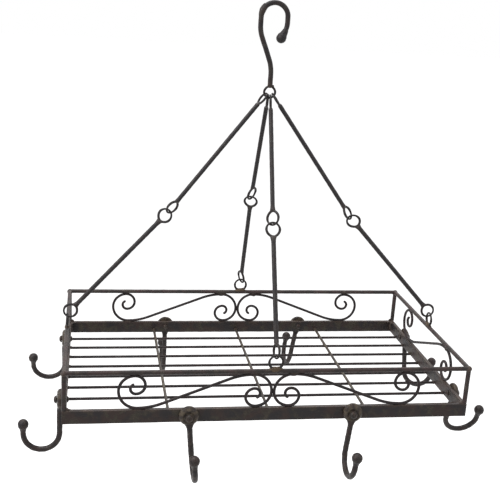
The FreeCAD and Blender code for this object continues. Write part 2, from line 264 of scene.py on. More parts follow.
def lump(centre, axes, sizes, seed, uneven=0.16, rows=11, sides=16):
    """Bead of weld metal: ellipsoid centre + sum(size axis n) (1 + uneven ripple), n a unit
    direction from pole to pole."""
    polar = np.linspace(0.06, pi - 0.06, rows)[:, None]
    round_ = np.arange(sides) * 2 * pi / sides
    n = np.stack(np.broadcast_arrays(np.sin(polar) * np.cos(round_),
                                     np.sin(polar) * np.sin(round_), -np.cos(polar)), -1)
    offset = (n * sizes) @ np.asarray(axes, float)
    swell = 1 + uneven * (2 * ripple(offset + np.asarray(centre), 1.6 * max(sizes), seed) - 1)
    return np.asarray(centre) + offset * swell[..., None], False, 1.0


def piece(name, shells, material, body, slot, *nodes):
    """Mesh object made of shells (grid, closed, weld).  Quads join the grid's rows, each row
    closes on itself, and an open shell gets a cap at each end.  The attribute weld is 1 on
    weld metal and 0 on plain iron; it also holds the painted light along the flat bars' tops
    and the paler patches on the pan hooks' eyes."""
    points, faces, welds, base = [], [], [], 0
    for grid, closed, weld in shells:
        n, m = grid.shape[:2]
        i = np.arange(n if closed else n - 1)[:, None] * m
        j = np.arange(m)[None]
        up, on = (i + m) % (n * m), (j + 1) % m
        quads = np.stack(np.broadcast_arrays(i + j, i + on, up + on, up + j), -1).reshape(-1, 4)
        faces += (quads + base).tolist()
        if not closed:
            faces += [(base + np.arange(m)[::-1]).tolist(),
                      (base + (n - 1) * m + np.arange(m)).tolist()]
        points.append(grid.reshape(-1, 3))
        per_row = (-1, 1) if np.ndim(weld) == 1 else np.shape(weld)
        welds.append(np.broadcast_to(np.reshape(weld, per_row), (n, m)).ravel())
        base += n * m
    made = bpy.data.meshes.new(name)
    made.from_pydata(np.concatenate(points) * MM, [], faces)
    made.polygons.foreach_set("use_smooth", np.ones(len(made.polygons), bool))
    made.attributes.new("weld", "FLOAT", "POINT").data.foreach_set(
        "value", np.concatenate(welds).astype(np.float32))
    made.materials.append(material)
    made.validate()
    made.update()
    obj = bpy.data.objects.new(name, made)
    bpy.context.scene.collection.objects.link(obj)
    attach(obj, body)
    if nodes:
        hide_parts(*nodes)
    return obj


MIX_A, MIX_B, MIX_OUT = 6, 7, 2            # a Mix node's colour sockets


def blackened_iron(name, skin, brown, olive, worn, weld, rough=0.46, cloud=26.0, grain=1.3):
    """Mild steel blackened by heat, rubbed with brown wax.  The skin is dull and nearly black,
    warmer and browner in clouds a thumb wide, with a fine scaly grain and lighter rubbed
    patches; weld metal is a paler brown, and the same brown is painted along the flat bars'
    tops as light from above.  cloud and grain are lengths in millimetres, and
    the grain is drawn coarser than real scale so that it shows."""
    made = bpy.data.materials.new(name)
    made.use_nodes = True
    tree = made.node_tree
    tree.nodes.clear()
    place = add(tree, "ShaderNodeTexCoord").outputs["Object"]
    clouds = add(tree, "ShaderNodeTexNoise", {"Vector": place, "Scale": 1000 / cloud, "Detail": 4.0,
                                              "Roughness": 0.6})
    drift = add(tree, "ShaderNodeTexNoise", {"Vector": place, "Scale": 2300 / cloud, "Detail": 3.0,
                                             "Distortion": 0.4})
    scale = add(tree, "ShaderNodeTexNoise", {"Vector": place, "Scale": 1000 / grain, "Detail": 3.0,
                                             "Roughness": 0.65})
    warm = add(tree, "ShaderNodeMapRange", {"Value": clouds.outputs["Fac"], "From Min": 0.42,
                                            "From Max": 0.6}, interpolation_type="SMOOTHSTEP")
    green = add(tree, "ShaderNodeMapRange", {"Value": drift.outputs["Fac"], "From Min": 0.5,
                                             "From Max": 0.66}, interpolation_type="SMOOTHSTEP")
    wear_and_top_light = add(tree, "ShaderNodeMath", {0: drift.outputs["Fac"], 1: scale.outputs["Fac"]},
                 operation="MULTIPLY")
    bare = add(tree, "ShaderNodeMapRange", {"Value": wear_and_top_light.outputs[0], "From Min": 0.29,
                                            "From Max": 0.42, "To Max": 0.55})
    first = add(tree, "ShaderNodeMix", {0: warm.outputs[0], MIX_A: srgb(skin), MIX_B: srgb(brown)},
                data_type="RGBA")
    second = add(tree, "ShaderNodeMix", {0: green.outputs[0], MIX_A: first.outputs[MIX_OUT],
                                         MIX_B: srgb(olive)}, data_type="RGBA")
    third = add(tree, "ShaderNodeMix", {0: bare.outputs[0], MIX_A: second.outputs[MIX_OUT],
                                        MIX_B: srgb(worn)}, data_type="RGBA")
    # weld attribute: weld metal, and on the flat bars the painted light along their tops; the weld
    # colour paints both
    pale_marks_and_painted_light = add(tree, "ShaderNodeAttribute", attribute_name="weld")
    patch = add(tree, "ShaderNodeMapRange", {"Value": drift.outputs["Fac"], "From Min": 0.35,
                                             "From Max": 0.6, "To Min": 0.45})
    amount = add(tree, "ShaderNodeMath", {0: pale_marks_and_painted_light.outputs["Fac"], 1: patch.outputs[0]},
                 operation="MULTIPLY")
    colour = add(tree, "ShaderNodeMix", {0: amount.outputs[0], MIX_A: third.outputs[MIX_OUT],
                                         MIX_B: srgb(weld)}, data_type="RGBA")
    gloss = add(tree, "ShaderNodeMapRange", {"Value": scale.outputs["Fac"], "From Min": 0.3,
                                             "From Max": 0.7, "To Min": rough - 0.07,
                                             "To Max": rough + 0.12})
    height = add(tree, "ShaderNodeMath", {0: scale.outputs["Fac"], 1: drift.outputs["Fac"]},
                 operation="ADD")
    bump = add(tree, "ShaderNodeBump", {"Height": height.outputs[0], "Strength": 0.4,
                                        "Distance": 0.25 * MM})
    skin_shader = add(tree, "ShaderNodeBsdfPrincipled",
                      {"Base Color": colour.outputs[MIX_OUT], "Roughness": gloss.outputs[0],
                       "Normal": bump.outputs[0], "Metallic": 0.0, "Specular IOR Level": 0.22})
    add(tree, "ShaderNodeOutputMaterial", {"Surface": skin_shader.outputs[0]})
    return made


def swollen_tip(to_centre, rod, ball, neck):
    """Radius of a rod upset into a ball, by distance before the ball's centre: the largest of
    rod, cone and sphere, blended by a power mean."""
    sphere = np.sqrt(np.maximum((ball / 2) ** 2 - to_centre ** 2, 0))
    cone = np.interp(to_centre, [0.22 * neck, neck], [0.43 * ball, rod / 2], 0, 0)
    plain = np.where(to_centre > 0, rod / 2, 0)
    return (sphere ** 8 + cone ** 8 + plain ** 8) ** 0.125 * np.where(to_centre > 0, 0.985, 1)


# mild steel black from the fire: a matt charcoal skin that turns brown where it was worked
hook_iron = blackened_iron("forge_blackened_hook_rod", IRON_SKIN, IRON_BROWN, IRON_OLIVE,
                           IRON_WORN, IRON_WELD_AND_TOP_LIGHT)
lean = radians(HOOK_LEAN)
bends = HOOK_BEND_LOW + HOOK_BEND_HIGH
slant = (CROOK - bends * (1 - cos(lean))) / sin(lean)
to_crook = (CROOK_LEVEL - CROOK - HOOK_FOOT - HOOK_FOOT_RUN - bends * sin(lean)
            - slant * cos(lean))
line = trail((0, 0, HOOK_FOOT), Z, -X,
             [HOOK_FOOT_RUN, (HOOK_BEND_LOW, HOOK_LEAN), slant, (HOOK_BEND_HIGH, -HOOK_LEAN),
              to_crook, (CROOK, -180), HOOK_TIP_RUN, (HOOK_TIP_BEND, -HOOK_TIP_TURN),
              HOOK_TIP_END + HOOK_BALL / 2])
line, pace = paced(line, 1.0, 0.5)
ball_centre = pace[-1] - HOOK_BALL / 2
radius = swollen_tip(ball_centre - pace, HOOK_ROD, HOOK_BALL, HOOK_NECK)
lap = np.array([-CROOK * cos(radians(LAP_TURN)), 0,
                CROOK_LEVEL - CROOK + CROOK * sin(radians(LAP_TURN))])
lap_at = pace[np.argmin(np.linalg.norm(line - lap, axis=1))]
swell = np.exp(-((pace - lap_at) / LAP_LENGTH) ** 2)
foot = np.clip(1 - pace / 3.0, 0, 1) ** 2
outline = oval(radius - (radius - 1.2) * foot + 0.5 * swell, radius + LAP_SWELL * swell)
grid = worked(carry(line, Y, outline), line, HOOK_WAVE, HOOK_DENT, 11)
shells = [(grid, False, 0.6 * swell + np.clip(1 - pace / 9, 0, 1))]
centre = np.array([0, 0, CROOK_LEVEL - CROOK])
out = unit(lap - centre)
shells.append(lump(lap + out * 1.2, (np.cross(Y, out), Y, out), LAP_HEAP, 21, 0.12))
# the shank's scarfed end, lapped outside the crook and left blunt at the top
ahead = sin(LAP_FROM) * X + cos(LAP_FROM) * Z
inward = cos(LAP_FROM) * X - sin(LAP_FROM) * Z
line, pace = paced(trail(centre - (CROOK + LAP_OUT) * inward, ahead, inward,
                         [(CROOK + LAP_OUT, LAP_ARC)]), 0.8, 0.5)
radius = (LAP_HALF * np.clip(pace / LAP_SCARF, 0.05, 1) ** 0.5
          * np.clip((pace[-1] - pace) / LAP_BLUNT, 0.02, 1) ** 0.5)
grid = worked(carry(line, Y, oval(radius, radius, 16)), line, LAP_WAVE, LAP_DENT, 24)
shells.append((grid, False, 0.35))
shells.append(lump((0.9, 0, HOOK_FOOT + 0.9), (X, Y, Z), FOOT_HEAP, 22))
piece("ceiling_hook_rod", shells, hook_iron, "hook", "hook_iron", "ceiling_hook")


# ---------------------------------------------------------------- hook ring
# A ring of 3.2 mm wire, bent round a bar, its ends brought up to the foot of the hook and
# welded there, so it is a little pointed at the top.  The four chains hang in it.
RING_WIRE = 3.2
HOOK_RING, HOOK_RING_LEVEL = 8.5, -128.0
HOOK_RING_POINT, HOOK_RING_WEAR = 0.7, 0.25
RING_WAVE, RING_DENT = 6.0, 0.12
RING_POINT = 0.9             # how far a ring is drawn out towards its weld
RING_WEAR = 0.45             # how much fuller than nominal its wire's radius is where nothing rubs


def loop(centre, normal, towards, radius, point=RING_POINT):
    """Ring drawn out to a soft point: r(a) = radius + point exp(-(a / 0.5)^2), a from the weld."""
    a = np.linspace(-pi, pi, 72, endpoint=False)[:, None]
    r = radius + point * np.exp(-(a / 0.5) ** 2)
    return centre + r * (np.cos(a) * towards + np.sin(a) * np.cross(normal, towards))


def wire_ring(centre, normal, towards, radius, seed, point=RING_POINT, full=RING_WEAR):
    """The ring's wire, round, worn to its nominal size where another ring bears, opposite the
    weld, and fuller by up to the wear elsewhere.  It has a weld tint near the weld."""
    line = loop(centre, normal, towards, radius, point)
    a = np.abs(np.linspace(-pi, pi, 72, endpoint=False))
    half = RING_WIRE / 2 + full * np.clip(1 + 1.8 * np.cos(a), 0, 1)
    grid = worked(carry(line, normal, oval(half, half, 14), True), line, RING_WAVE, RING_DENT,
                  seed)
    return grid, True, np.clip(1.3 - a / 0.55, 0, 1)


# drawn steel wire, blackened after bending: darker and smoother than the rods
ring_iron = blackened_iron("blackened_ring_wire", "#1F1D1E", "#282221", "#292826", "#443B38",
                           "#3A3432", cloud=14.0, grain=0.9)
piece("hook_ring_wire", [wire_ring(np.array([0, 0, HOOK_RING_LEVEL]), Y, Z, HOOK_RING, 31,
                                   HOOK_RING_POINT, HOOK_RING_WEAR)],
      ring_iron, "hook", "ring_iron", "hook_ring")


# ---------------------------------------------------------------- chains
# Each of the four chains is an upper and a lower rod of 1/4 inch round bar, joined by rings.
# A ring of bent wire is welded to every rod end: the rod's end is drawn out into the wire by
# a wide fillet of weld metal, browner than the rod.
ROD = 6.35
ROD_TIP, ROD_TUCK = 1.1, 2.4              # half thickness at the very end, length of the taper
ROD_WAVE, ROD_DENT = 9.0, 0.15
ROD_PROUD = {"upper": 1.8, "lower": 3.0}  # in dent depths
RING, TOP_RING = 10.2, 9.4                # radii of the rings' centre lines
TOP_RING_WEAR = 0.2
RING_AIR = 0.3
LINKED = RING_WIRE + RING_AIR             # between the centre lines of two linked rings
SIDE_RING_TURN = 64.0                     # degrees round the hook ring from its lowest point
MIDDLE_GAP = 0.8                          # between the front and back top rings in the hook ring
BACK_RING_SHIFT = 4.5
RAIL = 6.35
RAIL_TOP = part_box("rail_front")[1][2] / MM
RAIL_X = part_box("rail_right")[1][0] / MM - RAIL / 2
RAIL_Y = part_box("rail_back")[1][1] / MM - RAIL / 2
# per chain: the way out to its rail, inward sag of the middle link, share of the upper rod,
# and how far each ring is turned about its rod, from the top ring down
CHAINS = {
    "front": (-Y, 4.0, 0.4945, (9.8, -42, 0, -12)),
    "back": (Y, 0.5, 0.500, (9.4, 45, 15, -20)),
    "left": (-X, 10.5, 0.512, (-6.5, 48, 25, 0)),
    "right": (X, 13.6, 0.517, (8.8, 35, 20, 0)),
}
FILLET_SPREAD, FILLET_REACH = 5.6, 9.0
ROD_HEAP = (3.9, 2.2, 2.3)
CLOSE_SPREAD, CLOSE_HEAP = 3.5, (2.9, 1.9, 1.9)     # front and back tops, which close up in a fold


def turned(vector, axis, degrees):
    """Vector turned about a unit axis: v cos a + (axis x v) sin a + axis (axis . v)(1 - cos a)."""
    a = radians(degrees)
    return vector * cos(a) + np.cross(axis, vector) * sin(a) + axis * (axis @ vector) * (1 - cos(a))


def links(out, sag, share):
    """Middles of a chain's three links, top to foot, and the axis it folds about."""
    hub = np.array([0, 0, HOOK_RING_LEVEL])
    foot = out * np.abs(out @ np.array([RAIL_X, RAIL_Y, 0])) + Z * (RAIL_TOP + 2 * RING)
    if out[0]:
        reach = HOOK_RING - LINKED
        top = hub + reach * (out * sin(radians(SIDE_RING_TURN)) - Z * cos(radians(SIDE_RING_TURN)))
        axis = Y
    else:
        aside = (RING_WIRE + MIDDLE_GAP) / 2 * -out[1]
        top = hub + X * aside - Z * sqrt(HOOK_RING ** 2 - aside ** 2)
        foot = foot + X * (aside if out[1] < 0 else BACK_RING_SHIFT)
        axis = X
    span = foot - top
    span = span - axis * (span @ axis)
    ahead = unit(span)
    return top, top + span * share + unit(ahead * (out @ ahead) - out) * sag, foot, axis


def end_ring(pin, down, above, axis, wraps, radius, turn):
    """Centre and normal of a ring welded to a rod: above is 1 at the rod's top, -1 at its foot.
    One that wraps goes round its pin, one that does not carries it in its wire."""
    centre = pin + down * above * (radius - LINKED if wraps else radius)
    return centre, turned(axis if wraps else unit(np.cross(down, axis)), down, turn)


def drawn_rod(rings, radii, down, seed, proud, spreads):
    """Round rod between two rings.  Its half width in each ring's plane grows to the fillet's
    spread within its reach, and the end bends along the ring's wire by the wire's own curve."""
    ends = [rings[0][0] + down * (radii[0] + 0.6), rings[1][0] - down * (radii[1] + 0.6)]
    line, pace = paced(np.stack(ends), 1.0, 0.4)
    share = (pace / pace[-1])[:, None]
    normals = [rings[0][1], rings[1][1] * np.sign(rings[0][1] @ rings[1][1] or 1)]
    normal = normals[0] * (1 - share) + normals[1] * share
    near = np.minimum(pace, pace[-1] - pace)
    flare = np.clip(1 - near / FILLET_REACH, 0, 1) ** 2.0
    tuck = np.clip(1 - near / ROD_TUCK, 0, 1) ** 1.6
    half = ROD / 2
    spread = np.where(pace < pace[-1] / 2, *spreads)
    outline = oval(half - (half - ROD_TIP) * tuck, half + (spread - half) * flare, 24)
    grid = carry(line, normal, outline)
    a = np.linspace(0, 1.2, 40)
    for end, radius in ((0, radii[0]), (1, radii[1])):
        r = radius + RING_POINT * np.exp(-(a / 0.5) ** 2)
        drop = r[0] - np.interp(np.abs(outline[..., 1]), r * np.sin(a), r * np.cos(a))
        close = np.clip(1 - (pace if end == 0 else pace[-1] - pace) / FILLET_REACH, 0, 1) ** 1.5
        grid = grid + down * (drop * close[:, None] * (1 if end else -1))[..., None]
    grid = worked(grid, line, ROD_WAVE, ROD_DENT, seed, proud)
    return grid, False, np.clip(1.4 * flare ** 0.7, 0, 1)


# hot rolled round bar, blackened: a grey-black skin with faint brown clouds
rod_iron = blackened_iron("blackened_round_rod", "#2A282A", "#2F2A2A", "#302F2D", "#494342",
                          "#3F3937", cloud=22.0, grain=1.1)
for number, (name, (out, sag, share, turns)) in enumerate(CHAINS.items()):
    top, middle, foot, axis = links(out, sag, share)
    down = unit(middle - top)
    wraps = not out[0]
    upper = (end_ring(top, down, 1, axis, wraps, TOP_RING, turns[0]),
             end_ring(middle, down, -1, axis, wraps, RING, turns[1]))
    for level, pair, radii in (("upper", upper, (TOP_RING, RING)), ("lower", None, (RING, RING))):
        if level == "lower":
            down = unit(foot - middle)
            pair = (end_ring(middle, down, 1, axis, not wraps, RING, turns[2]),
                    end_ring(foot, down, -1, axis, True, RING, turns[3]))
        seed = 40 + 10 * number + (5 if level == "lower" else 0)
        body = "%s_%s" % (level, name)
        close = wraps and level == "upper"
        shells = [drawn_rod(pair, radii, down, seed, ROD_PROUD[level],
                            (CLOSE_SPREAD if close else FILLET_SPREAD, FILLET_SPREAD))]
        loops = []
        for k, ((centre, normal), radius, way) in enumerate(zip(pair, radii, (down, -down))):
            weld = centre + way * (radius + RING_POINT + 0.5)
            across = np.cross(way, normal)
            shells.append(lump(weld + across * (0.6 if k else -0.5), (across, normal, way),
                               CLOSE_HEAP if close and not k else ROD_HEAP, seed + k + 1))
            loops.append(wire_ring(centre, normal, way, radius, seed + 3 + k,
                                   full=RING_WEAR if radius > TOP_RING else TOP_RING_WEAR))
        piece("%s_rod_%s_bar" % (level, name), shells, rod_iron, body, "rod_iron",
              "%s_rod_%s" % (level, name))
        piece("%s_rings_%s_wire" % (level, name), loops, ring_iron, body, "ring_iron",
              "%s_rings_%s" % (level, name))


# ---------------------------------------------------------------- tray rings
# An upright ring on the middle of each rail, set into its top and held by a long heap of
# brass-brown weld that fills the foot of the ring and runs out along the rail.
TRAY_RING_POINT = 0.3
BRAZE_HEAPS = (              # up from the rail's top, along the rail, outwards, size, seed
    (-0.4, 0, 0, (9.6, 3.6, 3.5), 95),
    (1.3, 4.5, 0, (3.2, 2.2, 2.6), 101),
    (1.3, -4.8, 0, (3.0, 2.2, 2.4), 111),
    (-2.0, 0, 1.8, (8.5, 2.2, 2.7), 121))
# brazing brass under smoke: brown with ochre where it is rubbed, glossier than the iron
brazed = blackened_iron("brass_brown_brazing", "#3B322B", "#4C3F31", "#453E33", "#7E6C55",
                        "#57493A", rough=0.42, cloud=9.0, grain=1.0)
for number, (name, (out, sag, share, turns)) in enumerate(CHAINS.items()):
    foot = links(out, sag, share)[2]
    run = np.abs(np.cross(out, Z))
    shells = [wire_ring(foot - Z * RING, out, -Z, RING, 90 + number, TRAY_RING_POINT)]
    piece("tray_ring_%s_wire" % name, shells, ring_iron, "tray", "ring_iron", "tray_ring_" + name)
    base = foot - Z * 2 * RING
    shells = [lump(base + Z * up + run * along + out * off, (run, np.cross(Z, run), Z), size,
                   seed + number) for up, along, off, size, seed in BRAZE_HEAPS]
    piece("tray_ring_%s_braze" % name, shells, brazed, "tray", "ring_iron")


# ---------------------------------------------------------------- rails and posts
# Four top rails of 1/4 inch round bar and four corner posts of the same, cut to length,
# nipped to a saddle where they meet and welded.  Each corner has a lump of weld, dressed
# smooth.
RAIL_PROUD, POST_PROUD = 1.8, 3.2         # in dent depths
BAR_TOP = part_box("bar_front")[1][2] / MM
RAIL_LEVEL = RAIL_TOP - RAIL / 2
CORNER_WELDS = (             # level, in from the corner along x and y, size, unevenness
    (RAIL_LEVEL - 0.6, 0, 0, (4.9, 4.7, 4.4), 0.08),
    (RAIL_LEVEL - 1.8, 2.6, 0, (3.2, 2.2, 2.4), 0.16),
    (RAIL_LEVEL - 1.2, 0, 3.6, (2.4, 3.4, 2.2), 0.16),
    (BAR_TOP + 0.6, 2.4, 0, (4.6, 2.4, 3.4), 0.16),
    (BAR_TOP + 0.4, 0, 2.2, (2.4, 3.8, 2.6), 0.16))


def round_bar(node, seed, proud, depth=0.16, spacing=16.0, step=2.0, edge=0.9):
    """Round bar that fills a node's box from end to end, with softened ends."""
    low, high = (np.array(end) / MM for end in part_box(node))
    size, centre = high - low, (low + high) / 2
    long = int(np.argmax(size))
    reach = np.eye(3)[long] * size[long] / 2
    line, pace = paced(np.stack([centre - reach, centre + reach]), step, edge)
    half = np.delete(size, long).min() / 2 - eased(pace, edge)
    grid = carry(line, np.eye(3)[(long + 1) % 3], oval(half, half, 20))
    return worked(grid, line, spacing, depth, seed, proud), False, 0.0


# the same bar as the rods, handled more: warmer, with a red-brown cast
rail_iron = blackened_iron("blackened_round_bar", "#2C2827", "#3D3130", "#38342F", "#5C4F4B",
                           IRON_WELD_AND_TOP_LIGHT, cloud=24.0, grain=1.1)
for number, name in enumerate(CHAINS):
    piece("rail_%s_bar" % name, [round_bar("rail_" + name, 130 + number, RAIL_PROUD)],
          rail_iron, "tray", "bar_iron", "rail_" + name)
for end, back in (("front", -1), ("back", 1)):
    for side, right in (("left", -1), ("right", 1)):
        seed = 140 + 3 * right + 7 * back
        node = "corner_post_%s_%s" % (end, side)
        corner = np.array([right * RAIL_X, back * RAIL_Y, 0])
        shells = [round_bar(node, seed, POST_PROUD)]
        for k, (level, in_x, in_y, size, uneven) in enumerate(CORNER_WELDS):
            place = corner + Z * level - X * right * in_x - Y * back * in_y
            shells.append(lump(place, (X, Y, Z), size, seed + 10 * (k + 1), uneven))
        piece(node + "_bar", shells, rail_iron, "tray", "bar_iron", node)


# ---------------------------------------------------------------- flat bars
# Four 20 x 6 mm flat bars on edge make the tray's kerb.  They are hot rolled, so their faces
# are a little wavy and their arrises soft, and they are welded inside the corners.
BAR_ARRIS, BAR_WAVE, BAR_DENT, BAR_PROUD = 0.7, 20.0, 0.2, 0.7
INNER_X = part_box("bar_right")[0][0] / MM
INNER_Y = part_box("bar_right")[1][1] / MM
KERB_WELDS = (               # down from the bars' top, in along x and y, size
    (9, 0, 0, (2.8, 2.8, 8.8)),
    (0.9, 2.0, 0, (6.0, 3.2, 1.5)),
    (0.9, 0, 3.0, (3.0, 5.5, 1.4)))


def square(width, depth, corner, flat=4, arc=4):
    """Rectangle with round corners, anticlockwise: corner centres plus corner (cos a, sin a),
    with flat extra points along each side."""
    a = np.linspace(0, pi / 2, arc + 1)
    runs = []
    for quarter in range(4):
        sx, sy = ((1, 1), (-1, 1), (-1, -1), (1, -1))[quarter]
        b = a + quarter * pi / 2
        turn = np.stack([sx * (width / 2 - corner) + corner * np.cos(b),
                         sy * (depth / 2 - corner) + corner * np.sin(b)], -1)
        nx, ny = ((-1, 1), (-1, -1), (1, -1), (1, 1))[quarter]
        b = (quarter + 1) * pi / 2
        start = np.array([nx * (width / 2 - corner) + corner * cos(b),
                          ny * (depth / 2 - corner) + corner * sin(b)])
        runs += [turn, np.linspace(turn[-1], start, flat + 2)[1:-1]]
    return np.concatenate(runs)


def flat_bar(node, seed, step=2.5, edge=0.6):
    """Bar that fills a node's box, its section carried along the box's longest side.  Its top
    is painted paler as light from above, in patches: 0 to 1 over the last 0.6 mm up, times an
    uneven share."""
    low, high = (np.array(end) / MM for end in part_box(node))
    size, centre = high - low, (low + high) / 2
    long = int(np.argmax(size))
    u, v = [(1, 2), (2, 0), (0, 1)][long]
    reach = np.eye(3)[long] * size[long] / 2
    line, pace = paced(np.stack([centre - reach, centre + reach]), step, edge)
    inset = eased(pace, edge)
    outline = square(size[u], size[v], BAR_ARRIS)
    shrink = 1 - 2 * inset[:, None] / np.array([size[u], size[v]])
    grid = carry(line, np.eye(3)[u], outline * shrink[:, None, :])
    # painted light: the bar's top is painted paler, as light falling from above, in uneven patches
    wear_and_top_light = (np.clip((grid[..., 2] - high[2] + 0.9) / 0.6, 0, 1)
              * (0.3 + 0.9 * ripple(grid, 26.0, seed + 7)))
    return worked(grid, line, BAR_WAVE, BAR_DENT, seed, BAR_PROUD), False, wear_and_top_light


# mill scale under brown wax: broad clouds of brown and olive on black, with light from above
# painted paler along the top
bar_iron = blackened_iron("hot_rolled_flat_bar", "#282526", "#362B28", "#35322A", "#554842",
                          IRON_WELD_AND_TOP_LIGHT, cloud=34.0, grain=1.2)
for number, name in enumerate(CHAINS):
    piece("bar_%s_flat" % name, [flat_bar("bar_" + name, 150 + number)], bar_iron,
          "tray", "bar_iron", "bar_" + name)
shells = []
for right in (-1, 1):
    for back in (-1, 1):
        inside = np.array([right * INNER_X, back * INNER_Y, 0])
        seed = 160 + 3 * right + 7 * back
        for k, (drop, in_x, in_y, size) in enumerate(KERB_WELDS):
            place = inside + Z * (BAR_TOP - drop) - X * right * in_x - Y * back * in_y
            shells.append(lump(place, (X, Y, Z), size, seed + 20 * k))
piece("kerb_corner_welds", shells, bar_iron, "tray", "bar_iron")


# ---------------------------------------------------------------- floor wires
# Eight long wires between the end bars and three cross wires on top of them, all 4 mm
# drawn wire, spot welded where they cross and tacked inside the bars at their ends.
WIRE = 4.0
WIRE_DENT = 0.12
CROSSING_WELD, LONG_END_WELD, CROSS_END_WELD = (2.7, 2.7, 1.4), (2.8, 2.9, 2.4), (3.1, 2.8, 2.5)
# drawn steel wire: the darkest and smoothest of the irons, with little brown
wire_iron = blackened_iron("blackened_drawn_wire", "#1D191A", "#271D1D", "#241F1F", "#3C302E",
                           IRON_WELD_AND_TOP_LIGHT, rough=0.44, cloud=24.0, grain=0.8)
# the same wire painted lighter, grey-olive with paler patches, as painted light from above-left on
# the cross wires
cross_wire_painted_light = blackened_iron("rubbed_cross_wire", "#37322F", "#41372F", "#4B473C", "#746B5B",
                            "#4E463E", rough=0.44, cloud=20.0, grain=0.8)
WIRES = ["long_wire_%d" % n for n in range(1, 9)] + ["cross_wire_%d" % n for n in range(1, 4)]


def drawn_wire(line, normal, diameter, seed, step=2.5, edge=0.5, proud=2.0, spacing=18.0):
    """Round wire with softened ends."""
    line, pace = paced(line, step, edge)
    half = diameter / 2 - eased(pace, edge)
    grid = carry(line, normal, oval(half, half, 14))
    return worked(grid, line, spacing, WIRE_DENT, seed, proud), False, 0.0


middles = {}
for number, node in enumerate(WIRES):
    low, high = (np.array(end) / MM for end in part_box(node))
    long = int(np.argmax(high - low))
    reach = np.eye(3)[long] * (high - low)[long] / 2
    middles[node] = (low + high) / 2
    line = np.stack([middles[node] - reach, middles[node] + reach])
    # the cross wires take the material with painted light
    piece(node + "_rod", [drawn_wire(line, Z, WIRE, 170 + number)],
          wire_iron if number < 8 else cross_wire_painted_light, "tray", "wire_iron", node)
shells = []
level = middles["long_wire_1"][2]
for number, node in enumerate(WIRES[:8]):
    y = middles[node][1]
    for k, cross in enumerate(WIRES[8:]):
        shells.append(lump((middles[cross][0], y, level + WIRE / 2), (X, Y, Z), CROSSING_WELD,
                           200 + 3 * number + k, rows=7, sides=10))
    for k, side in enumerate((-1, 1)):
        shells.append(lump((side * (INNER_X - 1.0), y, level + 0.3), (X, Y, Z), LONG_END_WELD,
                           240 + 2 * number + k, rows=9, sides=12))
for number, cross in enumerate(WIRES[8:]):
    for k, side in enumerate((-1, 1)):
        shells.append(lump((middles[cross][0], side * (INNER_Y - 1.0), level + WIRE), (X, Y, Z),
                           CROSS_END_WELD, 270 + 2 * number + k, rows=9, sides=12))
piece("floor_wire_welds", shells, wire_iron, "tray", "wire_iron")


# ---------------------------------------------------------------- scrolls
# Six S-scrolls of 4 mm wire, two each in front and back and one in each end, rolled up
# round a bar at both ends.  Each touches the rail and the kerb, and is tacked there.
SCROLL_WIRE = 4.0
SCROLL_PROUD, SCROLL_WAVE = 2.4, 8.0
TACK, RAIL_HEAP, KERB_HEAP = (8.0, 2.2, 1.8), (5.4, 2.4, 2.6), (2.6, 2.0, 1.8)
FIRST_QUARTER, LATER_QUARTERS = 0.54, (0.295, 0.262, 0.16)    # radii, shares of the height
SPIRAL_LAST = (0.135, 80.0)               # share of the height, degrees
DIAGONAL_SLOPE = 21.0


def scroll_line(centre, along, height, half):
    """S of tangent arcs: a straight diagonal, an easing arc, then quarter turns of set shares
    of the height; the other half is the same turned half round."""
    first = FIRST_QUARTER * height
    slope = radians(DIAGONAL_SLOPE)
    ease = ((2 * (half - first) * sin(slope) - height * cos(slope))
            / (2 * (sin(slope) ** 2 - cos(slope) * (1 - cos(slope)))))
    straight = (height - 2 * ease * (1 - cos(slope))) / sin(slope)
    radii = [first, height - first] + [share * height for share in LATER_QUARTERS]
    moves = ([straight / 2, (ease, -DIAGONAL_SLOPE)] + [(radius, -90.0) for radius in radii]
             + [(SPIRAL_LAST[0] * height, -SPIRAL_LAST[1])])
    halves = [trail(centre, along * side * cos(slope) + Z * side * sin(slope),
                    Z * side * cos(slope) - along * side * sin(slope), moves) for side in (1, -1)]
    return np.concatenate([halves[1][::-1], halves[0][1:]])


SCROLLS = {"scroll_front_left": X, "scroll_front_right": -X, "scroll_back_left": X,
           "scroll_back_right": -X, "scroll_left": -Y, "scroll_right": -Y}
for number, (node, along) in enumerate(SCROLLS.items()):
    low, high = (np.array(end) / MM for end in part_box(node))
    size, centre = high - low, (low + high) / 2
    half = (size @ np.abs(along) - SCROLL_WIRE) / 2
    line = scroll_line(centre, along, size[2] - SCROLL_WIRE, half)
    face = np.cross(Z, along)
    shells = [drawn_wire(line, face, SCROLL_WIRE, 300 + number, 1.2, SCROLL_WIRE / 2 - 0.05,
                         SCROLL_PROUD, SCROLL_WAVE)]
    touch = (half - FIRST_QUARTER * (size[2] - SCROLL_WIRE)) * along
    for side, heap in ((1, RAIL_HEAP), (-1, KERB_HEAP)):
        shells.append(lump(centre + side * (touch + Z * (size[2] / 2 - 0.6)), (along, face, Z),
                           TACK, 320 + 2 * number + side))
        shells.append(lump(centre + side * (touch + Z * (size[2] / 2 - 0.4 - heap[2])),
                           (along, face, Z), heap, 340 + 2 * number + side))
    piece(node + "_wire", shells, wire_iron, "tray", "wire_iron", node)


